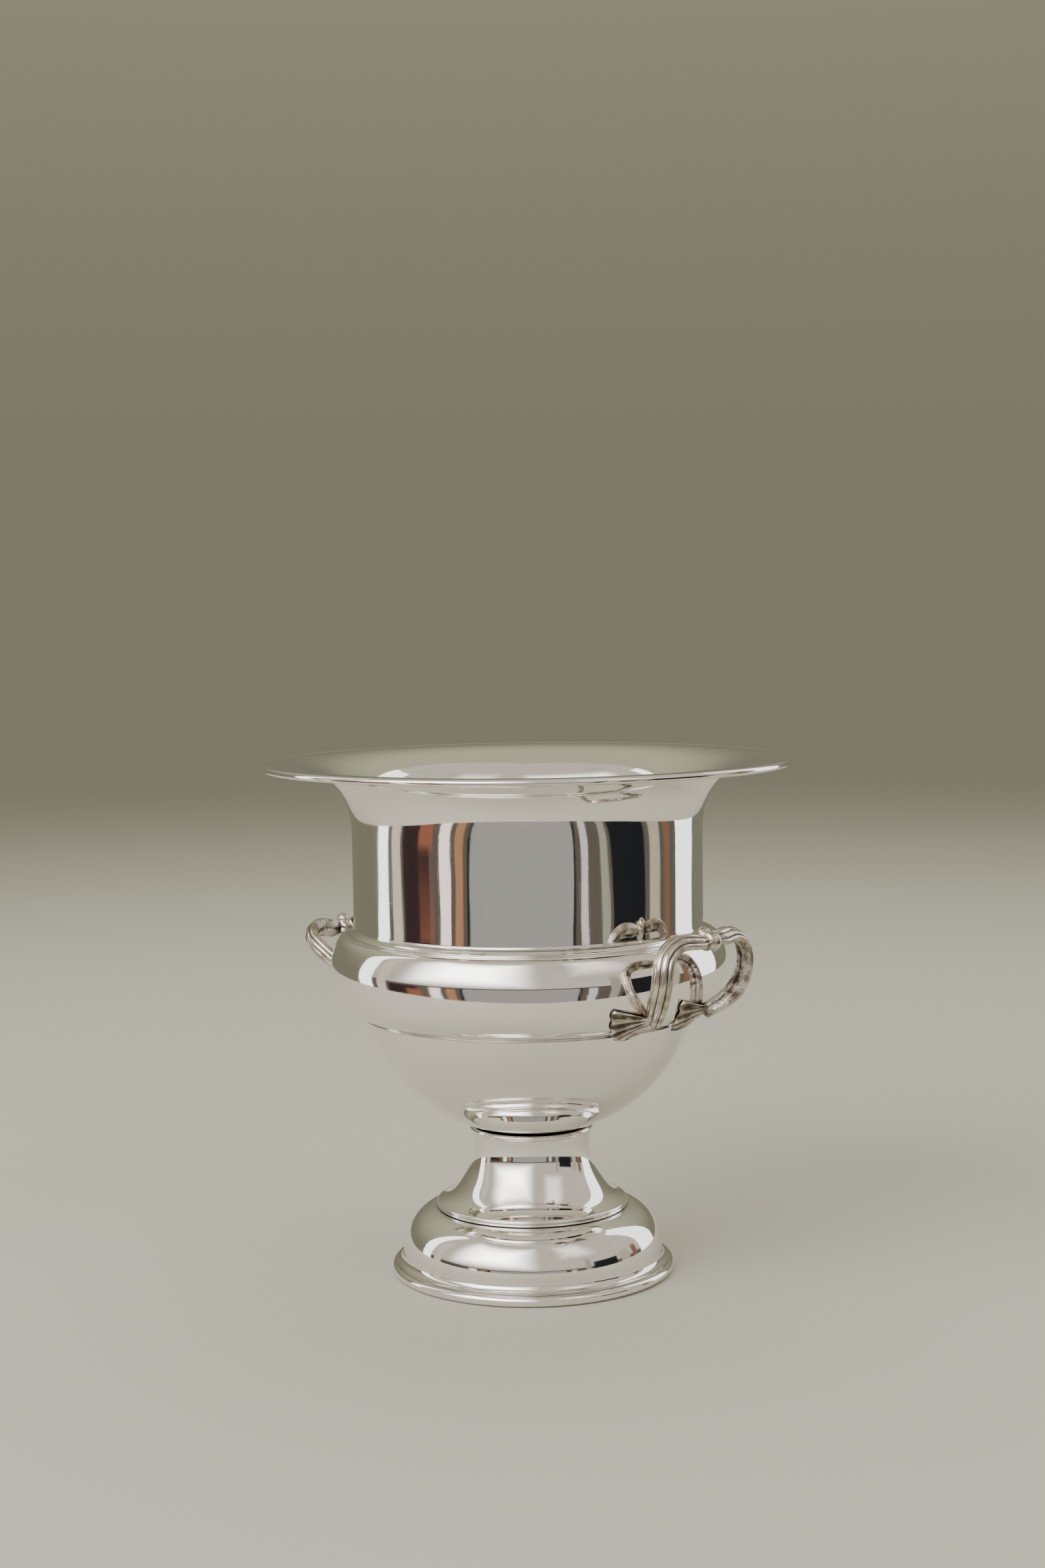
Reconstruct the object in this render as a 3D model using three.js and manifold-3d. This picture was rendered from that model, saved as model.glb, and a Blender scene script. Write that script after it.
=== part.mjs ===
// Silver-plated champagne bucket: a flared mouth, a straight neck, a round belly and a deep bowl
// on a trumpet foot, with two cast bow handles. Millimetres, +Z up, origin at the middle of the
// foot's underside, +X through the middle of one handle.
import * as THREE from 'three';
import { mergeVertices } from 'three/addons/utils/BufferGeometryUtils.js';
import Module from 'manifold-3d';

// ---- driving dimensions ----
const totalHeight = 248;        // floor to the top of the rim wire
const wall = 1.2;               // spun sheet of the body and bowl
const footWall = 1.5;           // spun sheet of the foot
const solderGap = 0.3;          // film between two pieces that are soldered together
const turns = 40;               // facets round a spun piece

const rimRadius = 127;          // mouth, over the rim wire
const rimWireRadius = 1.6;      // section of the wire round the mouth

const neckRadius = 84;          // outside of the straight neck
const flareHeight = 38;         // rim wire centre down to where the neck starts to flare
const flarePower = 2.7;         // how squarely the flare turns out: 2 is an ellipse
const neckFoot = 170;           // lower end of the straight neck
const coveRadius = 5;           // hollow moulding between neck and belly

const bellyRadius = 95.2;       // widest point of the belly
const bellyHeight = 151.5;      // height of that widest point
const bellyLipRadius = 80;      // the belly's lower edge, where the bowl is let in
const bellyLipHeight = 126.8;
const bellyLipDepth = 1;        // small upright edge under the belly
const bellyCurve = [            // inside the widest radius, and above its height
  [2.4, 9.2],
  [0, 0],
  [1.4, -10.4],
  [4.2, -17.7],
  [8.6, -22.1],
];

const bowlArc = 78;             // radius of the bowl's curve, nearly a hemisphere
const bowlArcOffset = 3.5;      // that curve's centre stands this far from the axis
const bowlArcHeight = 145.5;    // height of that curve's centre

const collarRadius = 29.9;      // bead between bowl and stem
const collarHeight = 2.4;
const collarBore = 26.5;

const stemWaist = 28.2;         // narrowest radius of the stem
const stemTopRadius = 28.8;
const stemCurve = [             // outside the waist, and below the stem's top
  [0, 6.2],
  [1.5, 15.2],
  [5.8, 23.4],
  [13.3, 32],
];
const lipRadius = 46.2;         // edge of the trumpet where it sits on the dome
const lipHeight = 34.6;         // top of that edge
const lipDepth = 3.2;
const lipRound = 0.9;           // how far the edge's corners are rounded

const domeRadius = 62.8;        // foot dome
const domeShoulder = 46;        // where the dome starts to round over
const domeRise = 20;            // height of its rounded side
const footCove = 3.5;           // hollow above the foot bead
const footCoveEdge = 0.5;       // thickness of the dome's sheet under that hollow
const footRadius = 68.6;        // foot, over the bead
const footBead = 5.2;           // height of the foot bead
const footBeadWidth = 5.2;

const handleAngle = 12.2;       // degrees from the handle's middle to each arm's foot
const armFootStandoff = 2;      // the arm's foot, outside the belly's widest radius
const armFootHeight = 136.2;
const bowStandoff = 15.3;       // the tie, outside the belly's widest radius
const bowTop = 170;             // height of the arm's centre line at the tie
const bowSpread = 29.8;         // half the distance between the arms where they are widest
const armWidth = 10.2;          // reeded arm, across the reeds
const armDepth = 7.4;           // reeded arm, through its thickness
const armStart = [7.5, 2.2, 0.21];  // beyond the foot, inside the spread, share of the climb
const armRoute = [              // short of the tie's reach, inside the spread, share of the climb
  [3.5, 0, 0.54],
  [3, 1.8, 0.84],
  [2.6, 11.3, 1.015],
];
const armEndSetback = 0.5;      // the last straight stretch, short of the tie's reach
const armEndRun = 3.6;          // length of that stretch
const slimmest = 0.78;          // share of the full section that an arm has at its foot
const footTaper = 4;            // shares of full section gained per share of length, from the foot
const tieTaper = 1.6;           // the same, from the tie
const tieSection = 0.4;         // how far from slimmest to full the arm is at the tie
const innerFlat = 0.8;          // thickness of the arm's inner half against its outer half
const heartStandoff = 3.8;      // the point that each arm's inner face is turned to
const heartHeight = 151.4;
const reeds = 4;                // reeds on the outer face of an arm
const reedDepth = 0.7;
const leftBend = 54;            // degrees that the left bow is bent down from the right one's pose
const bendStandoff = 9.3;       // the line that it is bent about
const bendHeight = 148;
const bendZone = 6;
const leftTurn = 2;             // degrees that the left handle stands off the exact opposite side

const tieHalfWidth = 2.8;       // half the tie's width along the bow
const tieLobes = [              // reach from the bow's line, rise from it, and three half sizes
  { out: 1.4, up: -0.4, size: [4.1, 3.9, 5.0] },
  { out: -3.2, up: 3.2, size: [3.9, 3.4, 3.2] },
];

const fanLength = 21;           // pleated fan, from its root to its wide edge
const fanShort = 5;             // the same, along its lowest pleat
const fanRise = 16;             // degrees that its top edge climbs
const fanSweep = 106;           // degrees from its top edge round to its lowest pleat
const fanPleats = 7;
const fanThickness = 1.7;
const pleatDepth = 0.9;
const fanStanding = 1.2;        // how far the fan stands off the body at its root
const fanRoot = 0.15;           // share of the fan's length where its root starts
const fanDrop = 1;              // the fan's root, below the arm's foot
const fanConeDrop = 21.5;       // below the belly's widest, the fan runs down a 45 degree cone
const rootSwell = 1.5;          // extra thickness at the root, where the arm stands on it
const bodyClearance = 0.4;      // fan's back from the body that it is soldered to

const silver = { color: 0xcfccc2, metalness: 1, roughness: 0.08 };
const castSilver = { color: 0xb9b3a6, metalness: 1, roughness: 0.3 };

// ---- helpers ----
const point = (x, y) => new THREE.Vector2(x, y);
const degrees = THREE.MathUtils.degToRad;
const bucket = new THREE.Group();

function addPiece(name, geometry, look, parent = bucket) {
  const mesh = new THREE.Mesh(geometry, new THREE.MeshStandardMaterial(look));
  mesh.name = name;
  parent.add(mesh);
  return mesh;
}

// Points on an arc about (x, y), from one angle to another, in degrees.
function arc(x, y, radius, from, to, steps) {
  const points = [];
  for (let i = 0; i <= steps; i += 1) {
    const a = degrees(from + (to - from) * i / steps);
    points.push(point(x + radius * Math.cos(a), y + radius * Math.sin(a)));
  }
  return points;
}

// The same profile moved sideways by a distance, square to its own direction.
function offset(profile, distance) {
  return profile.map((p, i) => {
    const before = profile[Math.max(i - 1, 0)];
    const after = profile[Math.min(i + 1, profile.length - 1)];
    const along = after.clone().sub(before).normalize();
    return point(p.x - along.y * distance, p.y + along.x * distance);
  });
}

// A closed (radius, height) outline, turned round the Z axis.
function spin(outline, segments = turns) {
  const closed = outline[0].x === 0 ? outline : [...outline, outline[0]];
  const area = closed.reduce((sum, p, i) => {
    const q = closed[(i + 1) % closed.length];
    return sum + p.x * q.y - q.x * p.y;
  }, 0);
  const ordered = area > 0 ? closed : [...closed].reverse();
  const geometry = new THREE.LatheGeometry(ordered, segments);
  geometry.rotateX(Math.PI / 2);
  return geometry;
}

// A closed body of changing section: rings of points joined in turn. Each end is closed by strips
// that run across the ring from one half to the other, so a long bent ring closes without folds.
function loft(rings) {
  const sides = rings[0].length;
  const faces = [];
  for (let j = 0; j < rings.length - 1; j += 1) {
    for (let k = 0; k < sides; k += 1) {
      const a = j * sides + k;
      const b = j * sides + (k + 1) % sides;
      faces.push(a, b, b + sides, a, b + sides, a + sides);
    }
  }
  const last = (rings.length - 1) * sides;
  for (let k = 0; k < sides / 2 - 1; k += 1) {
    const [a, b, c, d] = [k, k + 1, sides - 2 - k, sides - 1 - k];
    faces.push(a, c, b, a, d, c);
    faces.push(last + a, last + b, last + c, last + a, last + c, last + d);
  }
  const geometry = new THREE.BufferGeometry();
  geometry.setAttribute('position',
    new THREE.Float32BufferAttribute(rings.flat().flatMap(p => [p.x, p.y, p.z]), 3));
  geometry.setIndex(faces);
  return geometry;
}

// ---- joins and cuts ----
const wasm = await Module();
wasm.setup();

function solid(geometry) {
  const bare = geometry.clone();
  bare.deleteAttribute('normal');
  bare.deleteAttribute('uv');
  const merged = mergeVertices(bare, 1e-4);
  return new wasm.Manifold(new wasm.Mesh({
    numProp: 3,
    vertProperties: new Float32Array(merged.attributes.position.array),
    triVerts: new Uint32Array(merged.index.array),
  }));
}

function geometryOf(manifold) {
  const mesh = manifold.getMesh();
  const geometry = new THREE.BufferGeometry();
  geometry.setAttribute('position', new THREE.BufferAttribute(mesh.vertProperties, 3));
  geometry.setIndex(new THREE.BufferAttribute(mesh.triVerts, 1));
  geometry.computeVertexNormals();
  return geometry;
}

// ---- rim wire: a round wire soldered round the edge of the mouth ----
const rimWireCentre = point(rimRadius - rimWireRadius, totalHeight - rimWireRadius);
addPiece('rim_wire', spin(arc(rimWireCentre.x, rimWireCentre.y, rimWireRadius, 0, 315, 7)),
  silver);

// ---- upper body: mouth, neck, cove and belly, spun from one sheet ----
// The flare is a quarter of a superellipse from the upright neck to the level flange.
const flangeEdge = rimWireCentre.x - rimWireRadius - solderGap;
const flangeUnderside = rimWireCentre.y - wall / 2;
const flareFoot = rimWireCentre.y - flareHeight;
const flareSteps = 7;
const flare = [];
for (let i = 0; i <= flareSteps; i += 1) {
  const a = (Math.PI / 2) * (1 - i / flareSteps);
  const across = Math.cos(a) ** (2 / flarePower);
  const up = Math.sin(a) ** (2 / flarePower);
  flare.push(point(flangeEdge - (flangeEdge - neckRadius) * across,
    flareFoot + (flangeUnderside - flareFoot) * up));
}
const cove = arc(neckRadius + coveRadius, neckFoot, coveRadius, 180, 270, 3);
const shoulderHeight = neckFoot - coveRadius;
const bellySteps = 10;
const belly = new THREE.SplineCurve([
  point(neckRadius + coveRadius, shoulderHeight),
  ...bellyCurve.map(([inside, above]) => point(bellyRadius - inside, bellyHeight + above)),
  point(bellyLipRadius, bellyLipHeight),
]).getPoints(bellySteps);
const bodyOutside = [...flare, ...cove, ...belly.slice(1)];
const bodyInside = offset(bodyOutside, -wall).reverse();
const lipFoot = bellyLipHeight - bellyLipDepth;
const bodyOutline = [
  ...bodyOutside,
  point(bellyLipRadius, lipFoot),
  point(bodyInside[0].x, lipFoot),
  ...bodyInside,
];
addPiece('upper_body', spin(bodyOutline), silver);

// The body's outside radius at a height on the belly.
function bellyAt(height) {
  const next = belly.findIndex(p => p.y <= height);
  if (next <= 0) return next === 0 ? belly[0].x : bellyLipRadius;
  const above = belly[next - 1];
  const below = belly[next];
  return below.x + (above.x - below.x) * (height - below.y) / (above.y - below.y);
}

// ---- lower bowl: a deep spun cup soldered under the belly's lip ----
const bowlTop = lipFoot - solderGap;
const bowlSteps = 10;
const bowlSide = radius => arc(bowlArcOffset, bowlArcHeight, radius,
  THREE.MathUtils.radToDeg(Math.asin((bowlTop - bowlArcHeight) / radius)), -90, bowlSteps);
const bowlBottom = bowlArcHeight - bowlArc;
addPiece('lower_bowl', spin([
  point(0, bowlBottom),
  ...bowlSide(bowlArc).reverse(),
  ...bowlSide(bowlArc - wall),
  point(0, bowlBottom + wall),
]), silver);

// ---- foot collar: a half-round bead that covers the joint of bowl and stem ----
const bowlUnderside = bowlArcHeight
  - Math.sqrt(bowlArc ** 2 - (collarBore - bowlArcOffset) ** 2);
const collarTop = bowlUnderside - solderGap;
const collarFoot = collarTop - collarHeight;
const collarBead = collarHeight / 2;
addPiece('foot_collar', spin([
  point(collarBore, collarFoot),
  ...arc(collarRadius - collarBead, collarFoot + collarBead, collarBead, -90, 90, 4),
  point(collarBore, collarTop),
]), silver);

// ---- foot stem: a spun trumpet with a turned edge ----
const stemTop = collarFoot - solderGap;
const lipFootHeight = lipHeight - lipDepth;
const stemSteps = 8;
const stemLine = new THREE.SplineCurve([
  point(stemTopRadius, stemTop),
  ...stemCurve.map(([outside, below]) => point(stemWaist + outside, stemTop - below)),
  point(lipRadius - lipRound, lipHeight),
]).getPoints(stemSteps);
const stemInside = offset(stemLine, -footWall).reverse();
addPiece('foot_stem', spin([
  ...stemLine,
  point(lipRadius, lipHeight - lipRound),
  point(lipRadius, lipFootHeight + lipRound),
  point(lipRadius - lipRound, lipFootHeight),
  point(stemInside[0].x, lipFootHeight),
  ...stemInside,
]), silver);

// ---- foot dome: the rounded base under the stem ----
const domeTop = lipFootHeight - solderGap;
const domeSide = domeTop - domeRise;
const domeBottom = footBead + solderGap;
const domeCurve = [];
const domeSteps = 6;
for (let i = 0; i <= domeSteps; i += 1) {
  const a = (Math.PI / 2) * (1 - i / domeSteps);
  domeCurve.push(point(domeShoulder + (domeRadius - domeShoulder) * Math.cos(a),
    domeSide + domeRise * Math.sin(a)));
}
const coveTop = domeBottom + footCoveEdge + footCove;
const domeOutside = [
  point(stemInside[0].x, domeTop),
  ...domeCurve,
  ...arc(domeRadius + footCove, coveTop, footCove, 180, 270, 3),
];
const domeInside = offset(domeOutside.slice(0, domeSteps + 2), -footWall).reverse();
addPiece('foot_dome', spin([
  ...domeOutside,
  point(domeRadius + footCove, domeBottom),
  point(domeRadius - footWall, domeBottom),
  ...domeInside,
]), silver);

// ---- foot rim: a heavy half-round bead with a flat underside that the bucket stands on ----
const footBeadRadius = footBead / 2;
addPiece('foot_rim', spin([
  point(footRadius - footBeadWidth, 0),
  ...arc(footRadius - footBeadRadius, footBeadRadius, footBeadRadius, -90, 90, 6),
  point(footRadius - footBeadWidth, footBead),
]), silver);

// ---- handles ----
// Each handle is made at +X. An arm's line runs from its foot, out and up, to the tie.
const armFootRadius = bellyRadius + armFootStandoff;
const bowReach = bellyRadius + bowStandoff;
const bendReach = bellyRadius + bendStandoff;
const footReach = armFootRadius * Math.cos(degrees(handleAngle));
const footSide = armFootRadius * Math.sin(degrees(handleAngle));
const climb = bowTop - armFootHeight;

// Bends a handle: what is above the hinge line turns outwards and down by the whole angle, what
// is below stays, and the angle grows smoothly through the few millimetres between.
function bend(p, angle) {
  const share = THREE.MathUtils.smoothstep(p.z, bendHeight - bendZone, bendHeight + bendZone);
  const hinge = new THREE.Vector3(bendReach, 0, bendHeight);
  return p.clone().sub(hinge)
    .applyAxisAngle(new THREE.Vector3(0, 1, 0), degrees(angle * share)).add(hinge);
}

function armCurve(side, angle) {
  const stop = tieHalfWidth + solderGap;
  const places = [
    [footReach, footSide, armFootHeight],
    [footReach + armStart[0], bowSpread - armStart[1], armFootHeight + climb * armStart[2]],
    ...armRoute.map(([short, inside, climbed]) =>
      [bowReach - short, bowSpread - inside, armFootHeight + climb * climbed]),
    [bowReach - armEndSetback, stop + armEndRun, bowTop],
    [bowReach - armEndSetback, stop, bowTop],
  ];
  return new THREE.CatmullRomCurve3(
    places.map(([x, y, z]) => bend(new THREE.Vector3(x, side * y, z), angle)), false, 'centripetal');
}

// The arm's section: reeds on the half that faces out of the bow, a flatter back.
function armSection(middle, tangent, outward, scale) {
  const out = outward.clone().addScaledVector(tangent, -outward.dot(tangent)).normalize();
  const across = new THREE.Vector3().crossVectors(out, tangent);
  const ring = [];
  const sides = 4 * reeds;
  for (let k = 0; k < sides; k += 1) {
    const a = 2 * Math.PI * k / sides;
    const reed = Math.sin(a) >= 0 ? reedDepth * (k % 2) : reedDepth / 2;
    const flat = Math.sin(a) < 0 ? innerFlat : 1;
    ring.push(middle.clone()
      .addScaledVector(across, (armWidth / 2 * scale - reed) * Math.cos(a))
      .addScaledVector(out, (armDepth / 2 * scale - reed) * Math.sin(a) * flat));
  }
  return ring;
}

function arm(side, angle) {
  const curve = armCurve(side, angle);
  const heart = bend(new THREE.Vector3(bellyRadius + heartStandoff, 0, heartHeight), angle);
  const steps = 14;
  const rings = [];
  for (let j = 0; j <= steps; j += 1) {
    const u = j / steps;
    const middle = curve.getPointAt(u);
    const tangent = curve.getTangentAt(u);
    const fullness = Math.min(1, footTaper * u, tieSection + tieTaper * (1 - u));
    const scale = slimmest + (1 - slimmest) * fullness;
    const outward = middle.clone().sub(heart);
    rings.push(armSection(middle, tangent, outward, scale));
  }
  return loft(rings);
}

// A pleated fan that spreads round the belly from under an arm. Its points are polar about the
// root; the height gives the body's radius there, and the fan stands off it most at the root.
function fan(side) {
  const columns = 2 * fanPleats;
  const rows = 4;
  const coneTop = bellyHeight - fanConeDrop;
  const backAt = height => bellyAt(Math.max(height, coneTop))
    - Math.max(0, coneTop - height) + bodyClearance;
  const place = (share, column, front) => {
    const spread = column / columns;
    const angle = degrees(fanRise - fanSweep * spread);
    const reach = share * (fanShort + (fanLength - fanShort) * Math.cos(spread * Math.PI / 2));
    const height = armFootHeight - fanDrop + reach * Math.sin(angle);
    const turn = degrees(side * handleAngle) - reach * Math.cos(angle) / armFootRadius;
    const standing = fanStanding * (1 - share);
    const pleat = column % 2 ? pleatDepth * share : 0;
    const thickness = fanThickness + rootSwell * (1 - share) ** 3 - pleat;
    const radius = backAt(height) + standing + (front ? thickness : 0);
    return new THREE.Vector3(radius * Math.cos(turn), radius * Math.sin(turn), height);
  };
  const rings = [];
  for (let j = 0; j <= rows; j += 1) {
    const share = fanRoot + (1 - fanRoot) * j / rows;
    const ring = [];
    for (let c = columns; c >= 0; c -= 1) ring.push(place(share, c, true));
    for (let c = 0; c <= columns; c += 1) ring.push(place(share, c, false));
    rings.push(ring);
  }
  return loft(rings);
}

// The tie: two rounded lobes of a knot between the ends of the arms.
function tie(angle) {
  const slab = new THREE.BoxGeometry(bowReach, 2 * tieHalfWidth, bowReach);
  slab.translate(bowReach, 0, bowTop);
  const lobes = tieLobes.map(({ out, up, size }) => {
    const lobe = new THREE.SphereGeometry(1, 12, 9);
    lobe.scale(...size);
    lobe.translate(bowReach + out, 0, bowTop + up);
    return solid(lobe);
  });
  const knot = geometryOf(lobes[0].add(lobes[1]).intersect(solid(slab)));
  knot.translate(-bendReach, 0, -bendHeight);
  knot.rotateY(degrees(angle));
  knot.translate(bendReach, 0, bendHeight);
  return knot;
}

for (const { label, turn, angle, front } of [
  { label: 'right', turn: 0, angle: 0, front: -1 },
  { label: 'left', turn: Math.PI + degrees(leftTurn), angle: leftBend, front: 1 },
]) {
  const handle = new THREE.Group();
  handle.rotation.z = turn;
  addPiece(`${label}_handle_tie`, tie(angle), castSilver, handle);
  for (const [end, side] of [['front', front], ['back', -front]]) {
    addPiece(`${label}_arm_${end}`, arm(side, angle), castSilver, handle);
    addPiece(`${label}_fan_${end}`, fan(side), castSilver, handle);
  }
  bucket.add(handle);
}

export default bucket;
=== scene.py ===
"""Silver-plated champagne bucket: spun body, bowl and foot, with cast reeded handles.
Lengths are worked out in millimetres and turned to metres where a mesh is made."""
import math

import bpy
import numpy as np
from mathutils import Matrix, Vector


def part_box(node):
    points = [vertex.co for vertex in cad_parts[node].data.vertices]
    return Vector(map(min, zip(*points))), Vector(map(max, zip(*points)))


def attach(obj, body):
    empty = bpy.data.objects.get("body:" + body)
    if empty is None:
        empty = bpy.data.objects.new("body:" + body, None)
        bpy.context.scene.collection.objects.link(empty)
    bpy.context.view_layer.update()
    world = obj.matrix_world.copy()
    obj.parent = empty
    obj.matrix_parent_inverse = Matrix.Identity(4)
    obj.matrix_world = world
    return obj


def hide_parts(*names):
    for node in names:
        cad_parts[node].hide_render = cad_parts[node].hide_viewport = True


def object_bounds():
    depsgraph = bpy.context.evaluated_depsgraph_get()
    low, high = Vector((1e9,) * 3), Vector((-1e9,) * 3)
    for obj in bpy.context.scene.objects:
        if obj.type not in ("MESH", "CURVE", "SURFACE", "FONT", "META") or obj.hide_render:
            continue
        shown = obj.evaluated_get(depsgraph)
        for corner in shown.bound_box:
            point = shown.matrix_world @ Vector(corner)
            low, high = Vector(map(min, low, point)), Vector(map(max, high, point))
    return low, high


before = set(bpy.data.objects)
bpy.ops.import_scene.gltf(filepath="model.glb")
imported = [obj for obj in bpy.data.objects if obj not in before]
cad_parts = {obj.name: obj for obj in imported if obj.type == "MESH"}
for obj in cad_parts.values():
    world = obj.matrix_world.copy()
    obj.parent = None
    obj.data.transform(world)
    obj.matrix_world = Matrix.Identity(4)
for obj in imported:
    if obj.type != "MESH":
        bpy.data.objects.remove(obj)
cad_low, cad_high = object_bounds()
MM = 0.001
total_height = cad_high[2] / MM
rim_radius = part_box("rim_wire")[1].x / MM
foot_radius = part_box("foot_rim")[1].x / MM

# ---- camera: at eye level to the mouth, looking a little down, about 50 mm lens ----
view_azimuth = math.radians(42.5)
view_distance = 1.110
view_height = 0.3256
view_pitch = math.radians(4.62)
view_roll = math.radians(0.82)
view_aside = 0.0019
away = Vector((math.sin(view_azimuth), -math.cos(view_azimuth), 0))
rightward = Vector((math.cos(view_azimuth), math.sin(view_azimuth), 0))
camera_data = bpy.data.cameras.new("camera")
camera_data.lens = 53.3
camera_data.sensor_width = 36
camera = bpy.data.objects.new("camera", camera_data)
bpy.context.scene.collection.objects.link(camera)
place = Matrix.Translation(away * view_distance - rightward * view_aside + Vector((0, 0, view_height)))
turn = Matrix.Rotation(view_azimuth, 4, "Z") @ Matrix.Rotation(math.pi / 2 - view_pitch, 4, "X")
camera.matrix_world = place @ turn @ Matrix.Rotation(-view_roll, 4, "Z")
bpy.context.scene.camera = camera


# ---- finishes: silver plate, mirror-polished on the spun pieces and duller on the castings ----
class Value:
    """One output of a shader node, so that shader maths is written as arithmetic."""

    def __init__(self, finish, socket):
        self.finish = finish
        self.socket = socket

    def maths(self, operation, *values):
        inputs = {i: v for i, v in enumerate(values)}
        return self.finish.node("ShaderNodeMath", {"operation": operation}, inputs)

    def __add__(self, other):
        return self.maths("ADD", self, other)

    def __sub__(self, other):
        return self.maths("SUBTRACT", self, other)

    def __rsub__(self, other):
        return self.maths("SUBTRACT", other, self)

    def __mul__(self, other):
        return self.maths("MULTIPLY", self, other)

    def __pow__(self, other):
        return self.maths("POWER", self, other)

    __radd__ = __add__
    __rmul__ = __mul__


class Finish:
    """A material under construction: node() adds any node, and shader is its Principled BSDF."""

    def __init__(self, name):
        self.material = bpy.data.materials.new(name)
        self.material.use_nodes = True
        self.tree = self.material.node_tree
        self.shader = self.tree.nodes["Principled BSDF"]
        coordinates = self.tree.nodes.new("ShaderNodeTexCoord")
        self.place = Value(self, coordinates.outputs["Object"])

    def node(self, kind, settings=None, inputs=None, output=0):
        node = self.tree.nodes.new(kind)
        for key, setting in (settings or {}).items():
            setattr(node, key, setting)
        for key, value in (inputs or {}).items():
            self.feed(node.inputs[key], value)
        return Value(self, node.outputs[output])

    def feed(self, socket, value):
        if isinstance(value, Value):
            self.tree.links.new(value.socket, socket)
        else:
            socket.default_value = value

    def noise(self, scale, turned=(0, 0, 0), detail=2.0, roughness=0.5):
        """Noise with its own scale along each axis, in waves a metre."""
        turned_place = self.node("ShaderNodeMapping", None,
                                 {"Vector": self.place, "Rotation": turned, "Scale": scale})
        return self.node("ShaderNodeTexNoise", None,
                         {"Vector": turned_place, "Scale": 1.0, "Detail": detail, "Roughness": roughness})

    def band(self, value, low, high):
        """0 below low, 1 above high, and smooth between."""
        return self.node("ShaderNodeMapRange", {"interpolation_type": "SMOOTHSTEP"},
                         {"Value": value, "From Min": low, "From Max": high})

    def mix(self, share, first, second):
        return self.node("ShaderNodeMix", {"data_type": "RGBA"},
                         {"Factor": share, "A": first, "B": second}, output="Result")

    def attribute(self, name):
        return self.node("ShaderNodeAttribute", {"attribute_name": name}, output="Fac")

    def set(self, **values):
        for key, value in values.items():
            self.feed(self.shader.inputs[key.replace("_", " ")], value)


def polished_silver():
    """Mirror-polished plate: fine upright hairlines, a few crossed scratches, faint hand-spun waves, a
    thin haze in patches, and warm tarnish where the recess attribute says that a cloth can't reach. The
    same recess darkening also paints a contact shadow along the bottom edge of the foot rim."""
    finish = Finish("mirror_plate")
    hairlines = finish.band(finish.noise((2600, 2600, 34), detail=3), 0.5, 0.78)
    crossed = finish.band(finish.noise((900, 60, 900), (0.7, 0.5, 0.9)), 0.62, 0.76)
    slanted = finish.band(finish.noise((70, 1100, 700), (0.3, -0.8, 0.4)), 0.63, 0.78)
    scratches = hairlines * 0.5 + crossed * 0.35 + slanted * 0.3
    haze = finish.band(finish.noise((14, 14, 9), detail=4), 0.42, 0.75)
    recess = finish.attribute("recess")
    # tarnish in the hollows and joints, plus painted contact shadow where the recess attribute covers the foot rim's
    # bottom edge
    tarnish_and_contact_shadow = recess * (0.55 + 0.45 * haze)
    waves = finish.noise((11, 11, 7), detail=1.0) + 0.14 * finish.noise((42, 42, 18), detail=1.0)
    waved = finish.node("ShaderNodeBump", None,
                        {"Strength": 1.0, "Distance": 0.0016, "Height": waves})
    lined = finish.node("ShaderNodeBump", None,
                        {"Strength": 1.0, "Distance": 0.0000022, "Height": scratches, "Normal": waved})
    bright = finish.mix(haze * 0.5, (0.925, 0.905, 0.870, 1), (0.885, 0.860, 0.815, 1))
    finish.set(Base_Color=finish.mix(tarnish_and_contact_shadow, bright, (0.20, 0.16, 0.11, 1)), Metallic=1.0,
               Roughness=0.035 + 0.045 * haze + 0.10 * scratches + 0.28 * tarnish_and_contact_shadow, Normal=lined)
    return finish.material


def cast_silver():
    """Cast and plated silver: bright where hands rub it, dark in the grooves, grainy where the grain
    attribute says that the casting was never filed smooth."""
    finish = Finish("cast_plate")
    recess = finish.attribute("recess")
    grain = finish.attribute("grain")
    blotches = finish.band(finish.noise((160, 160, 160), detail=4), 0.36, 0.68)
    grit = finish.noise((1300, 1300, 1300), detail=3, roughness=0.65)
    pits = finish.band(finish.noise((1300, 1300, 1300), detail=2), 0.47, 0.64)
    dark = finish.band(recess * 0.95 + grain * 0.30 * blotches + grain * 0.26 * pits + blotches * 0.24,
                       0.05, 0.95)
    bright = finish.mix(blotches, (0.72, 0.67, 0.60, 1), (0.44, 0.38, 0.31, 1))
    fine = finish.node("ShaderNodeBump", None,
                       {"Strength": 1.0, "Distance": 0.00008, "Height": grit * (0.2 + grain)})
    rough = finish.node("ShaderNodeBump", None,
                        {"Strength": 1.0, "Distance": 0.00016, "Height": pits * grain, "Normal": fine})
    finish.set(Base_Color=finish.mix(dark, bright, (0.055, 0.040, 0.026, 1)), Metallic=1.0,
               Roughness=0.13 + 0.16 * blotches + 0.20 * grain + 0.16 * dark, Normal=rough)
    return finish.material


mirror_plate = polished_silver()
cast_plate = cast_silver()


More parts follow.
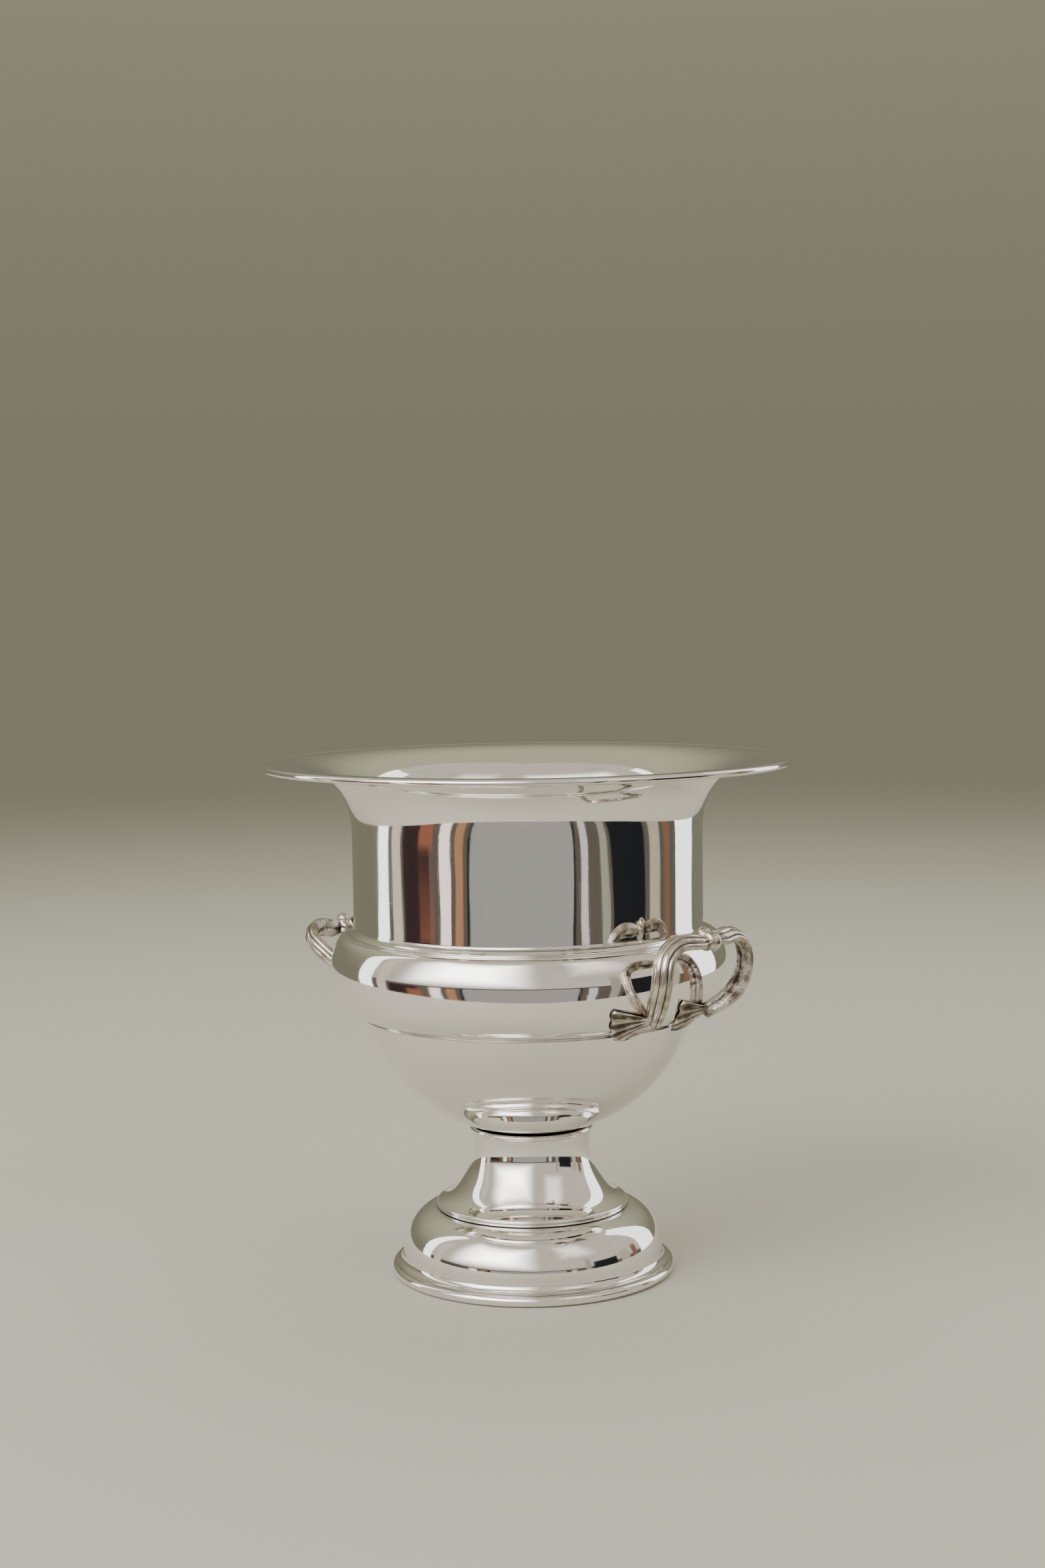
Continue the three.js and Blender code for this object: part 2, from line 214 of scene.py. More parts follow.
def make_piece(node, material, vertices, faces, sharp=35, **attributes):
    """Puts a closed surface in place of a CAD node. It is turned right side out by its volume, which is
    a sixth of the sum of each triangle's triple product, and each attribute holds a value a vertex."""
    name = node + "_silver"
    points = np.asarray(vertices, float) * MM
    corners = [[f[0], f[i], f[i + 1]] for f in faces for i in range(1, len(f) - 1)]
    a, b, c = (points[np.array(corners)[:, i]] for i in range(3))
    if np.einsum("ij,ij->i", a, np.cross(b, c)).sum() < 0:
        faces = [list(reversed(f)) for f in faces]
    mesh = bpy.data.meshes.new(name)
    mesh.from_pydata(points.tolist(), [], [list(map(int, f)) for f in faces])
    mesh.polygons.foreach_set("use_smooth", np.ones(len(mesh.polygons), bool))
    mesh.set_sharp_from_angle(angle=math.radians(sharp))
    for key in ("recess", "grain"):
        values = np.broadcast_to(attributes.get(key, 0.0), len(points)).astype(np.float32)
        mesh.attributes.new(key, "FLOAT", "POINT").data.foreach_set("value", np.ascontiguousarray(values))
    mesh.update()
    mesh.materials.append(material)
    piece = bpy.data.objects.new(name, mesh)
    bpy.context.scene.collection.objects.link(piece)
    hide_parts(node)
    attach(piece, "root")
    return piece


# ---- rim wire: round silver wire, soldered round the edge of the mouth ----
turns = 288
wire_radius = 1.6
wire_centre = (rim_radius - wire_radius, total_height - wire_radius)


def arc(centre, radii, start, end, count):
    """An elliptical arc from one angle to another, in degrees: centre + radii * (cos a, sin a)."""
    a = np.radians(np.linspace(start, end, count))
    return np.stack([centre[0] + radii[0] * np.cos(a), centre[1] + radii[1] * np.sin(a)], 1)


def spun(outline):
    """A (radius, height) outline turned once round Z: x = r cos t, y = r sin t. An outline that starts
    and ends on the axis is closed with a point at each end, and any other is closed on itself."""
    solid = outline[0][0] == 0
    rings = outline[1:-1] if solid else outline
    t = np.linspace(0, 2 * np.pi, turns, endpoint=False)
    x = rings[:, :1] * np.cos(t)
    y = rings[:, :1] * np.sin(t)
    z = np.broadcast_to(rings[:, 1:], x.shape)
    vertices = np.stack([x, y, z], 2).reshape(-1, 3)
    i, k = np.meshgrid(np.arange(len(rings) - (1 if solid else 0)), np.arange(turns), indexing="ij")
    following = (i + 1) % len(rings)
    beside = (k + 1) % turns
    faces = np.stack([i * turns + k, following * turns + k,
                      following * turns + beside, i * turns + beside], 2).reshape(-1, 4).tolist()
    if solid:
        vertices = np.vstack([vertices, [0, 0, outline[0][1]], [0, 0, outline[-1][1]]])
        first, last = len(vertices) - 2, len(vertices) - 1
        end = (len(rings) - 1) * turns
        for k in range(turns):
            faces.append([first, k, (k + 1) % turns])
            faces.append([last, end + (k + 1) % turns, end + k])
    return vertices, faces


def near(heights, spans):
    """1 at each (height, reach) in spans, falling away as a bell curve."""
    return np.clip(sum(np.exp(-((heights - h) / reach) ** 2) for h, reach in spans), 0, 1)


vertices, faces = spun(arc(wire_centre, (wire_radius, wire_radius), 0, 345, 24))
crevice = 0.5 * near(vertices[:, 2], [(total_height - 2 * wire_radius, 0.8)])
make_piece("rim_wire", mirror_plate, vertices, faces, recess=crevice)

# ---- upper body: mouth, neck and belly, spun from one sheet of plated metal ----
sheet = 1.2
neck_radius = 84
neck_foot = 170
flare_height = 38
flare_power = 2.8
cove_radius = 5
belly_radius = 95.2
belly_height = 151.5
lip_radius = 80
lip_height = 126.8
lip_depth = 1.0


def smooth_curve(points, count, start=None, end=None):
    """The natural cubic spline through some points, by distance along them: its second derivatives m
    solve h0 m0 + 2 (h0 + h1) m1 + h1 m2 = 6 (slope1 - slope0). A start or end direction is clamped."""
    p = np.asarray(points, float)
    t = np.append(0, np.cumsum(np.linalg.norm(np.diff(p, axis=0), axis=1)))
    h = np.diff(t)
    slope = np.diff(p, axis=0) / h[:, None]
    n = len(p)
    grid = np.eye(n)
    right = np.zeros_like(p)
    for i in range(1, n - 1):
        grid[i, i - 1:i + 2] = h[i - 1], 2 * (h[i - 1] + h[i]), h[i]
        right[i] = 6 * (slope[i] - slope[i - 1])
    if start is not None:
        grid[0, :2] = 2 * h[0], h[0]
        right[0] = 6 * (slope[0] - np.array(start, float))
    if end is not None:
        grid[-1, -2:] = h[-1], 2 * h[-1]
        right[-1] = 6 * (np.array(end, float) - slope[-1])
    m = np.linalg.solve(grid, right)
    s = np.linspace(0, t[-1], count)
    i = np.clip(np.searchsorted(t, s, side="right") - 1, 0, n - 2)
    left, ahead, width = (s - t[i])[:, None], (t[i + 1] - s)[:, None], h[i][:, None]
    return (m[i] * ahead ** 3 + m[i + 1] * left ** 3) / (6 * width) \
        + (p[i] / width - m[i] * width / 6) * ahead + (p[i + 1] / width - m[i + 1] * width / 6) * left


def moved_in(curve, distance):
    """A curve shifted square to its own direction, towards its right-hand side."""
    along = np.gradient(curve, axis=0)
    along /= np.linalg.norm(along, axis=1)[:, None]
    return curve + distance * np.stack([along[:, 1], -along[:, 0]], 1)


flare_top = wire_centre[1] + 0.3
flare_foot = flare_top - flare_height
flange_edge = wire_centre[0] - 0.6
quarter = np.linspace(np.pi / 2, 0, 56)
flare = np.stack([
    flange_edge - (flange_edge - neck_radius) * np.cos(quarter) ** (2 / flare_power),
    flare_foot + (flare_top - flare_foot) * np.sin(quarter) ** (2 / flare_power)], 1)
straight = np.stack([np.full(12, neck_radius), np.linspace(flare_foot, neck_foot, 14)[1:-1]], 1)
cove = arc((neck_radius + cove_radius, neck_foot), (cove_radius, cove_radius), 180, 262, 30)
cove[:, 0] -= 0.35 * near(cove[:, 1], [(167.9, 0.30), (165.7, 0.22)])
belly = smooth_curve([
    (neck_radius + cove_radius + 0.3, neck_foot - cove_radius),
    (belly_radius - 2.4, belly_height + 9.2),
    (belly_radius, belly_height),
    (belly_radius - 1.4, belly_height - 10.4),
    (belly_radius - 4.2, belly_height - 17.7),
    (belly_radius - 8.6, belly_height - 22.1),
    (lip_radius + 0.6, lip_height + 0.05)], 64, start=(0.93, -0.36))
lip = arc((lip_radius + 0.6, lip_height - 0.5), (0.5, 0.5), 100, 260, 9)
outside = np.vstack([flare, straight, cove, belly, lip])
inside = moved_in(np.vstack([flare, straight, cove, belly]), sheet)
inside[:, 0] = np.maximum(inside[:, 0], lip_radius - sheet)
vertices, faces = spun(np.vstack([outside, [[lip_radius - sheet, lip_height - lip_depth]], inside[::-1]]))
crevice = near(vertices[:, 2], [(167.9, 0.30), (165.7, 0.3), (lip_height - 1.0, 0.6)]) * 0.8
crevice *= vertices[:, 2] < neck_foot
crevice += 0.6 * near(vertices[:, 2], [(flare_top, 0.5)]) * (np.hypot(*vertices[:, :2].T) > flange_edge - 1)
make_piece("upper_body", mirror_plate, vertices, faces, recess=np.clip(crevice, 0, 1))

# ---- lower bowl: a deep spun cup, soldered under the belly's lip ----
bowl_arc = 78
bowl_centre = (3.5, 145.5)
bowl_top = lip_height - lip_depth + 0.1


def bowl_curve(radius, count):
    """The bowl's wall: an arc from its top edge down to the level middle, then in to the axis."""
    start = math.degrees(math.asin((bowl_top - bowl_centre[1]) / radius))
    curve = arc(bowl_centre, (radius, radius), start, -90, count)
    return np.vstack([curve, [[0, bowl_centre[1] - radius]]])


vertices, faces = spun(np.vstack([bowl_curve(bowl_arc, 120)[::-1], bowl_curve(bowl_arc - sheet, 100)]))
radius = np.hypot(*vertices[:, :2].T)
crevice = 0.75 * near(vertices[:, 2], [(bowl_top, 0.5)]) + 0.8 * near(radius, [(29.6, 1.3)]) * (vertices[:, 2] < 75)
make_piece("lower_bowl", mirror_plate, vertices, faces, recess=np.clip(crevice, 0, 1))

# ---- foot collar: a half-round bead that covers the joint between bowl and stem ----
collar_low, collar_high = (corner.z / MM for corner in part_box("foot_collar"))
collar_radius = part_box("foot_collar")[1].x / MM
collar_bore = 26.5
bead = (collar_high + 0.25 - collar_low) / 2
vertices, faces = spun(np.vstack([
    [[collar_bore, collar_low - 0.2]],
    arc((collar_radius - bead, collar_low + bead), (bead, bead), -90, 90, 20),
    [[collar_bore, collar_high + 0.25]]]))
crevice = 0.4 * near(vertices[:, 2], [(collar_high + 0.2, 0.4)])
make_piece("foot_collar", mirror_plate, vertices, faces, recess=crevice)

# ---- foot stem: a spun trumpet with a turned double edge, standing on the dome ----
foot_sheet = 1.5
stem_top = collar_low
edge_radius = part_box("foot_stem")[1].x / MM
edge_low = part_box("foot_stem")[0].z / MM
edge_high = edge_low + 3.2
waist = 28.2
trumpet = smooth_curve([
    (waist + 0.6, stem_top),
    (waist, stem_top - 6.2),
    (waist + 1.5, stem_top - 15.2),
    (waist + 5.8, stem_top - 23.4),
    (waist + 13.3, stem_top - 32),
    (edge_radius - 1.0, edge_high)], 90)
edge = np.vstack([
    arc((edge_radius - 0.9, edge_high - 0.8), (0.9, 0.8), 80, -60, 14),
    arc((edge_radius - 0.9, edge_low + 0.7), (0.8, 0.65), 60, -90, 14)])
hollow = moved_in(trumpet, foot_sheet)[::-1]
hollow = hollow[hollow[:, 1] > edge_low + 1]
vertices, faces = spun(np.vstack([trumpet, edge, [[hollow[0, 0], edge_low + 0.05]], hollow]))
crevice = near(vertices[:, 2], [(edge_low + 1.55, 0.28), (edge_low, 0.25)]) * 0.8 \
    + 0.15 * near(vertices[:, 2], [(stem_top, 0.4)])
make_piece("foot_stem", mirror_plate, vertices, faces, recess=np.clip(crevice, 0, 1))

# ---- foot dome: the rounded base, with a hollow moulding down to the foot bead ----
bead_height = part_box("foot_rim")[1].z / MM
dome_top = edge_low - 0.1
dome_radius = 62.8
dome_shoulder = 46
dome_rise = 20
moulding = 3.5
dome_foot = bead_height + 0.1
dome = arc((dome_shoulder, dome_top - dome_rise), (dome_radius - dome_shoulder, dome_rise), 90, 0, 80)
hollowed = arc((dome_radius + moulding, dome_foot + 0.4 + moulding), (moulding, moulding), 180, 270, 30)
top_inner = [[dome_shoulder - 3, dome_top]]
inner_dome = arc((dome_shoulder, dome_top - dome_rise),
                 (dome_radius - dome_shoulder - foot_sheet, dome_rise - foot_sheet), 0, 90, 50)
vertices, faces = spun(np.vstack([
    top_inner, dome, hollowed, [[dome_radius + moulding, dome_foot], [dome_radius - foot_sheet, dome_foot]],
    inner_dome, [[dome_shoulder - 3, dome_top - foot_sheet]]]))
radius = np.hypot(*vertices[:, :2].T)
crevice = 0.8 * near(radius, [(edge_radius, 0.7)]) * (vertices[:, 2] > dome_top - 2) \
    + 0.6 * near(vertices[:, 2], [(dome_foot + 0.3, 0.5)])
make_piece("foot_dome", mirror_plate, vertices, faces, recess=np.clip(crevice, 0, 1))

# ---- foot rim: a heavy half-round bead with a flat underside ----
bead_radius = bead_height / 2
rim_bore = foot_radius - bead_height
vertices, faces = spun(np.vstack([
    [[rim_bore, 0.0]],
    arc((foot_radius - bead_radius, bead_radius), (bead_radius, bead_radius), -90, 90, 36),
    [[rim_bore, bead_height]]]))
# the bead's top joint with the dome gets tarnish; its bottom edge at z = 0, on the floor, gets painted contact shadow
crevice = 0.7 * near(vertices[:, 2], [(bead_height, 0.45)]) + 0.6 * near(vertices[:, 2], [(0, 0.5)])
make_piece("foot_rim", mirror_plate, vertices, faces, recess=np.clip(crevice, 0, 1))

# ---- handle arms: cast in halves, four reeds on the outer face and a rough flat inner face ----
handle_angle = math.radians(12.2)
foot_reach = 97.2 * math.cos(handle_angle)
foot_side = 97.2 * math.sin(handle_angle)
foot_height = 136.2
bow_reach = 110.5
bow_top = 170
bow_spread = 29.8
arm_width = 10.4
arm_depth = 7.6
reed_count = 4
reed_depth = 0.85
climb = bow_top - foot_height
bend_reach, bend_height, bend_zone = 104.5, 148, 6


def bent(points, angle):
    """The left bow is bent down: points turn about a level line by an angle that grows from nothing
    to its whole, as 3 s^2 - 2 s^3, through a short zone round the line's height."""
    p = np.array(points, float)
    s = np.clip((p[..., 2] - bend_height + bend_zone) / (2 * bend_zone), 0, 1)
    a = math.radians(angle) * s * s * (3 - 2 * s)
    r = p[..., 0] - bend_reach
    h = p[..., 2] - bend_height
    p[..., 0] = bend_reach + r * np.cos(a) + h * np.sin(a)
    p[..., 2] = bend_height + h * np.cos(a) - r * np.sin(a)
    return p


def turned(points, angle):
    """Points turned about Z by an angle in degrees."""
    a = math.radians(angle)
    return points @ np.array([[math.cos(a), math.sin(a), 0], [-math.sin(a), math.cos(a), 0], [0, 0, 1]])


def loft(rings):
    """A closed body of rings joined in turn, each end closed by strips across the ring."""
    count, sides = rings.shape[:2]
    j, k = np.meshgrid(np.arange(count - 1), np.arange(sides), indexing="ij")
    beside = (k + 1) % sides
    faces = np.stack([j * sides + k, j * sides + beside,
                      (j + 1) * sides + beside, (j + 1) * sides + k], 2).reshape(-1, 4).tolist()
    last = (count - 1) * sides
    for k in range(sides // 2 - 1):
        strip = [k, k + 1, sides - 2 - k, sides - 1 - k]
        faces.append(strip[::-1])
        faces.append([last + corner for corner in strip])
    return rings.reshape(-1, 3), faces


def arm_surface(side, angle):
    """A tube round a spline from the fan, out and up, to the knot. Its section is an ellipse whose
    outer half carries reeds, as the square root of |sin 4a|, and whose inner half is flattened."""
    route = bent(np.array([
        [foot_reach - 3.4, side * (foot_side - 2.6), foot_height - 3.2],
        [foot_reach + 7.5, side * (bow_spread - 2.2), foot_height + climb * 0.21],
        [bow_reach - 3.5, side * bow_spread, foot_height + climb * 0.54],
        [bow_reach - 3, side * (bow_spread - 1.8), foot_height + climb * 0.84],
        [bow_reach - 2.6, side * bow_spread * 0.62, bow_top + 0.3],
        [bow_reach - 0.6, side * 6.6, bow_top],
        [bow_reach - 0.4, side * 0.8, bow_top]]), angle)
    middle = smooth_curve(route, 190)
    heart = bent([foot_reach + 4, 0, foot_height + climb * 0.45], angle)
    along = np.gradient(middle, axis=0)
    along /= np.linalg.norm(along, axis=1)[:, None]
    out = middle - heart
    out -= np.sum(out * along, 1)[:, None] * along
    out /= np.linalg.norm(out, axis=1)[:, None]
    across = np.cross(out, along)
    u = np.linspace(0, 1, len(middle))[:, None]
    size = 0.78 + 0.22 * np.minimum(1, np.minimum(4 * u, 0.4 + 1.6 * (1 - u)))
    into_knot = np.clip((u - 0.88) / 0.12, 0, 1)
    size = size * (1 - 0.38 * into_knot ** 2 * (3 - 2 * into_knot)) * np.sqrt(np.clip(1 - (1 - np.clip(u / 0.02, 0, 1)) ** 2, 0.25, 1))
    a = np.linspace(0, 2 * np.pi, 128, endpoint=False)[None, :]
    outer = np.clip(np.sin(a) * 6, 0, 1)
    crest = np.abs(np.sin(reed_count * a)) ** 0.55
    seam = np.exp(-((a - 1.5 * np.pi) / 0.22) ** 2)
    inset = reed_depth * (1 - crest) * outer + (0.25 + 0.55 * seam) * (1 - outer)
    depth = np.where(np.sin(a) < 0, 0.72, 1.0)
    wide = (arm_width / 2 * size - inset) * np.cos(a)
    deep = (arm_depth / 2 * size - inset) * np.sin(a) * depth
    rings = middle[:, None] + across[:, None] * wide[..., None] + out[:, None] * deep[..., None]
    groove = np.broadcast_to((1 - crest) ** 2 * outer, wide.shape)
    worn = 0.85 * groove + 0.5 * seam + 0.5 * np.clip((u - 0.93) / 0.05, 0, 1) + 0.5 * np.clip((0.06 - u) / 0.05, 0, 1)
    rough = np.broadcast_to(np.clip(-np.sin(a) * 3, 0, 1), wide.shape)
    return rings, np.clip(worn, 0, 1).ravel(), rough.ravel()


handles = {
    "right": {"turn": 0, "angle": 0, "front": -1},
    "left": {"turn": 182, "angle": 54, "front": 1},
}
for label, handle in handles.items():
    for end, side in (("front", handle["front"]), ("back", -handle["front"])):
        rings, worn, rough = arm_surface(side, handle["angle"])
        vertices, faces = loft(rings)
        make_piece(f"{label}_arm_{end}", cast_plate, turned(vertices, handle["turn"]), faces,
                   sharp=60, recess=worn, grain=rough)

# ---- handle ties: a cast knot where the two arms meet, with a ball, a wrap and a second lobe ----
knot_parts = [
    # reach out from the bow's line, along it, up from it, and the three half sizes
    ((1.7, 0.4, -0.3), (3.9, 3.5, 4.3)),
    ((-3.0, -0.5, 3.3), (3.4, 2.9, 3.0)),
    ((-0.2, -2.9, 0.0), (4.6, 1.1, 4.5)),
    ((-1.0, 0.0, 0.8), (3.4, 3.0, 3.7)),
]
for label, handle in handles.items():
    shells = []
    faces = []
    for centre, half_sizes in knot_parts:
        angle_a, angle_b = np.meshgrid(np.linspace(0, np.pi, 34)[1:-1],
                                       np.linspace(0, 2 * np.pi, 48, endpoint=False), indexing="ij")
        ball = np.stack([np.sin(angle_a) * np.cos(angle_b), np.sin(angle_a) * np.sin(angle_b),
                         np.cos(angle_a)], 2).reshape(-1, 3)
        ball = np.vstack([ball, [[0, 0, 1], [0, 0, -1]]]) * half_sizes + centre
        start = sum(map(len, shells))
        rows, columns = angle_a.shape
        for i in range(rows - 1):
            for k in range(columns):
                k2 = (k + 1) % columns
                faces.append([start + i * columns + k, start + (i + 1) * columns + k,
                              start + (i + 1) * columns + k2, start + i * columns + k2])
        for k in range(columns):
            k2 = (k + 1) % columns
            faces.append([start + rows * columns, start + k, start + k2])
            faces.append([start + rows * columns + 1, start + (rows - 1) * columns + k2,
                          start + (rows - 1) * columns + k])
        shells.append(ball)
    points = np.vstack(shells) + [bow_reach, 0, bow_top]
    points = turned(bent(points, handle["angle"]), handle["turn"])
    knot = make_piece(f"{label}_handle_tie", cast_plate, points, faces, sharp=80)
    fused = knot.modifiers.new("fused", "REMESH")
    fused.mode = "VOXEL"
    fused.voxel_size = 0.00022
    fused.use_smooth_shade = True
    softened = knot.modifiers.new("softened", "SMOOTH")
    softened.factor = 0.5
    softened.iterations = 6

# ---- fans: cast pleated shells that spread round the belly from under each arm ----
fan_length = 21
fan_short = 5
fan_rise = math.radians(16)
fan_sweep = math.radians(106)
pleats = 7
pleat_depth = 1.3
fan_thickness = 2.7
fan_standing = 1.2
root_swell = 2.2
under_belly = belly_height - 21.5


def belly_at(height):
    """The belly's outside radius at a height, and below it a cone that falls in one for one."""
    order = np.argsort(belly[:, 1])
    radius = np.interp(np.maximum(height, under_belly), belly[order, 1], belly[order, 0])
    return radius - np.maximum(0, under_belly - height)


def fan_surface(side):
    """Polar about its root: a point at share q of a pleat's length, at spread s from the top edge, lies
    on the belly at height - q L sin a and turn - q L cos a / radius, where a grows with s. The front
    stands off by the thickness and sharp ridges, |cos(pi n s)| ^ 2.6, and both faces meet round the edge."""
    s = np.linspace(0, 1, 141)[None, :]
    q = np.linspace(0.04, 1, 60)[:, None]
    ridge = np.abs(np.cos(np.pi * pleats * s)) ** 2.6
    slope = fan_rise - fan_sweep * s
    length = fan_short + (fan_length - fan_short) * np.cos(s * np.pi / 2)
    reach = q * length * (1 + 0.05 * (1 - ridge) * q ** 4)
    height = foot_height - 1 + reach * np.sin(slope)
    spin = side * handle_angle - reach * np.cos(slope) / 97.2
    standing = fan_standing * (1 - q) + 0.1
    edge = np.sqrt(np.clip(1 - np.clip((q - 0.95) / 0.05, 0, 1) ** 2, 0.05, 1))
    sides = np.sqrt(np.clip(1 - np.clip((np.abs(s - 0.5) - 0.47) / 0.03, 0, 1) ** 2, 0.05, 1))
    relief = pleat_depth * (1 - ridge) * np.clip(q * 1.6, 0.2, 1)
    thickness = (fan_thickness + root_swell * (1 - q) ** 4 - relief) * edge * sides
    back = belly_at(height) + standing + 0.25
    faces_of = []
    for radius in (back + thickness, back):
        faces_of.append(np.stack([radius * np.cos(spin), radius * np.sin(spin), height], 2))
    rings = np.concatenate([faces_of[0][:, ::-1], faces_of[1]], 1)
    valley = (1 - ridge) * np.clip(q * 3, 0.3, 1)
    worn = np.concatenate([0.62 * valley[:, ::-1], np.full_like(valley, 0.8)], 1)
    rough = np.concatenate([np.full_like(valley, 0.12), np.ones_like(valley)], 1)
    return rings, worn.ravel(), rough.ravel()


for label, handle in handles.items():
    for end, side in (("front", handle["front"]), ("back", -handle["front"])):
        rings, worn, rough = fan_surface(side)
        vertices, faces = loft(rings)
        make_piece(f"{label}_fan_{end}", cast_plate, turned(vertices, handle["turn"]), faces,
                   sharp=50, recess=np.clip(worn, 0, 1), grain=rough)

# ---- stage: a plain pale floor that fades into a plain backdrop, lit by large soft lights ----
backdrop_colour = (0.205, 0.198, 0.142, 1)
near_floor = 0.82
floor_shift = -0.44 * away


def floor_part(name, radii, seen_in_silver):
    """A flat ring of floor round a point behind the bucket: x = x0 + r cos t, y = y0 + r sin t."""
    t = np.radians(np.arange(0, 360, 5))
    count = len(t)
    radii = np.asarray(radii)[:, None]
    x, y = floor_shift.x + radii * np.cos(t), floor_shift.y + radii * np.sin(t)
    vertices = np.stack([x, y, np.zeros_like(x)], 2).reshape(-1, 3)
    i, k = np.meshgrid(np.arange(len(radii) - 1), np.arange(count), indexing="ij")
    beside = (k + 1) % count
    faces = np.stack([i * count + k, (i + 1) * count + k,
                      (i + 1) * count + beside, i * count + beside], 2).reshape(-1, 4).tolist()
    mesh = bpy.data.meshes.new(name)
    mesh.from_pydata(vertices.tolist(), [], faces)
    mesh.materials.append(floor_finish.material)
    part = bpy.data.objects.new(name, mesh)
    bpy.context.scene.collection.objects.link(part)
    part.visible_glossy = seen_in_silver
    part.visible_shadow = seen_in_silver


floor_finish = Finish("floor")
distance = floor_finish.node("ShaderNodeVectorMath", {"operation": "LENGTH"},
                             {0: floor_finish.place}, output="Value")
floor_finish.set(Base_Color=(0.60, 0.585, 0.53, 1), Roughness=0.75)
fade = floor_finish.band(distance, 0.7, 3.2)
glow = floor_finish.node("ShaderNodeEmission", None, {"Color": backdrop_colour, "Strength": 1.0})
blended = floor_finish.node("ShaderNodeMixShader", None, {0: fade, 2: glow})
floor_finish.tree.links.new(floor_finish.shader.outputs[0], blended.socket.node.inputs[1])
output = floor_finish.tree.nodes["Material Output"]
floor_finish.tree.links.new(blended.socket, output.inputs["Surface"])
floor_part("floor", [0.0001, near_floor], True)
floor_part("far_floor", [near_floor, 2.5, 5.0, 12.0, 40.0], False)

world = bpy.data.worlds.new("backdrop")
world.use_nodes = True
upward = world.node_tree.nodes.new("ShaderNodeTexCoord")
height = world.node_tree.nodes.new("ShaderNodeSeparateXYZ")
rising = world.node_tree.nodes.new("ShaderNodeMapRange")
rising.interpolation_type = "SMOOTHSTEP"
rising.inputs["From Min"].default_value = 0.03
rising.inputs["From Max"].default_value = 0.75
rising.inputs["To Min"].default_value = 1.0
rising.inputs["To Max"].default_value = 2.5
background = world.node_tree.nodes["Background"]
background.inputs["Color"].default_value = backdrop_colour
world.node_tree.links.new(upward.outputs["Generated"], height.inputs[0])
world.node_tree.links.new(height.outputs["Z"], rising.inputs["Value"])
world.node_tree.links.new(rising.outputs["Result"], background.inputs["Strength"])
bpy.context.scene.world = world

soft_boxes = [
    # name, degrees to the right of the camera, distance, height, side, power
    ("key_light", -48, 1.7, 1.5, 1.5, 30),
    ("fill_light", 60, 2.0, 1.3, 1.6, 10),
    ("top_light", 170, 0.7, 2.1, 1.8, 16),
]
for name, around, distance, height, side, power in soft_boxes:
    light = bpy.data.lights.new(name, "AREA")
    light.size = side
    light.energy = power
    light.color = (1.0, 0.98, 0.95)
    lamp = bpy.data.objects.new(name, light)
    bpy.context.scene.collection.objects.link(lamp)
    a = math.radians(around)
    spot = (away * math.cos(a) + rightward * math.sin(a)) * distance
    lamp.location = (spot.x, spot.y, height)
    lamp.rotation_euler = (Vector((0, 0, 0.1)) - lamp.location).to_track_quat("-Z", "Y").to_euler()
    lamp.visible_camera = False
    lamp.visible_glossy = False

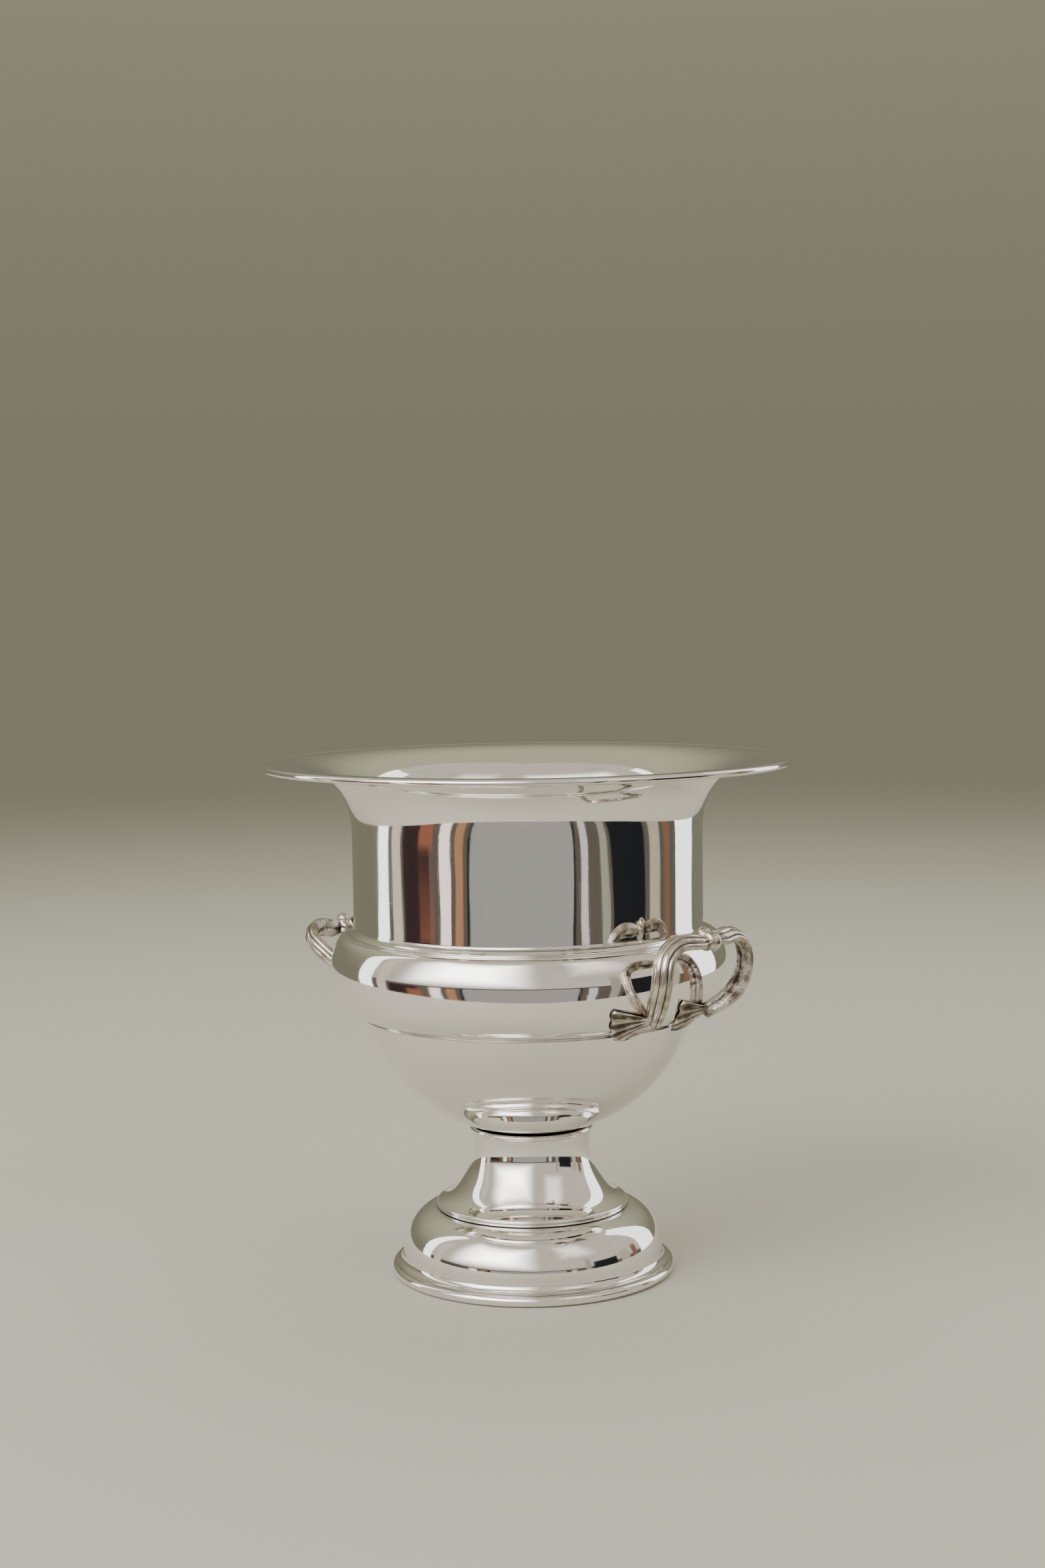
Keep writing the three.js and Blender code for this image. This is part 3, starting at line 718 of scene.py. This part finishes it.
# Reflector cards, soft boxes and dark flags stand round the front, where polished silver sees them.
cards = [
    # degrees to the right of the camera, degrees above the horizon, how far off, glow and soft edge
    ((-112, 134), (4, 89), 4.0, (0.66, 0.60, 0.52), 0.0),
    ((-112, 134), (-40, 4), 4.0, (0.13, 0.11, 0.09), 0.0),
    ((-84, 8), (3, 62), 3.8, (6.5, 6.4, 6.4), 0.9),
    ((20, 66), (24, 66), 3.8, (1.6, 1.5, 1.4), 0.8),
    ((-38.6, 29.6), (-40, 3.5), 3.4, (0.03, 0.03, 0.03), 0.0),
    ((-37, 28), (-39, 2.5), 3.3, (0.40, 0.39, 0.37), 0.0),
    ((-113, -102), (-39, 55), 3.7, (2.6, 2.6, 2.65), 0.0),
    ((-98, -89), (-39, 40), 3.7, (0.80, 0.72, 0.58), 0.1),
    ((-87, -66), (-39, 1), 3.7, (0.05, 0.03, 0.03), 0.0),
    ((-75, -62), (-39, -2), 3.6, (0.34, 0.13, 0.08), 0.3),
    ((-58, -50), (-39, 3), 3.6, (1.6, 1.4, 1.3), 0.1),
    ((-47, -41), (-39, 3), 3.6, (0.50, 0.26, 0.14), 0.2),
    ((33, 38), (-39, 3), 3.6, (0.75, 0.72, 0.70), 0.1),
    ((46, 52), (-39, 25), 3.6, (0.40, 0.39, 0.31), 0.3),
    ((54, 80), (-39, 12), 3.6, (0.016, 0.018, 0.02), 0.0),
    ((84, 95), (-39, 20), 3.6, (0.55, 0.49, 0.36), 0.2),
    ((98, 105), (-39, 20), 3.6, (0.24, 0.13, 0.08), 0.2),
    ((111, 134), (-39, 50), 3.6, (2.3, 2.3, 2.35), 0.0),
]
for number, (sides, levels, far, glow, softness) in enumerate(cards):
    a, e = np.meshgrid(np.radians(np.linspace(*sides, 25)), np.radians(np.linspace(*levels, 17)), indexing="ij")
    level = np.cos(e)[..., None] * (np.cos(a)[..., None] * np.array(away) + np.sin(a)[..., None] * np.array(rightward))
    vertices = far * (level + np.sin(e)[..., None] * np.array([0, 0, 1]))
    i, k = np.meshgrid(np.arange(24), np.arange(16), indexing="ij")
    faces = np.stack([i * 17 + k, i * 17 + k + 1, (i + 1) * 17 + k + 1, (i + 1) * 17 + k], 2)
    mesh = bpy.data.meshes.new(f"card_{number}")
    mesh.from_pydata(vertices.reshape(-1, 3).tolist(), [], faces.reshape(-1, 4).tolist())
    card_finish = Finish(f"card_{number}")
    u, v = np.meshgrid(np.linspace(-1, 1, 25), np.linspace(-1, 1, 17), indexing="ij")
    inward = np.minimum(1 - np.abs(u), 1 - np.abs(v)) / max(softness, 0.001)
    edge = mesh.attributes.new("inward", "FLOAT", "POINT")
    edge.data.foreach_set("value", np.clip(inward, 0, 1).astype(np.float32).ravel())
    shown = card_finish.band(card_finish.attribute("inward"), 0, 1) if softness else 1.0
    uneven = 0.80 + 0.4 * card_finish.noise((0.9, 0.9, 0.9), detail=3)
    glow_colour = card_finish.mix(uneven, (0, 0, 0, 1), (*glow, 1))
    card_finish.set(Base_Color=(0, 0, 0, 1), Specular_IOR_Level=0.0, Emission_Color=glow_colour,
                    Emission_Strength=1.0, Alpha=shown)
    mesh.materials.append(card_finish.material)
    card = bpy.data.objects.new(f"card_{number}", mesh)
    bpy.context.scene.collection.objects.link(card)
    card.visible_camera = False
    card.visible_diffuse = False
    card.visible_shadow = False

bpy.context.view_layer.update()
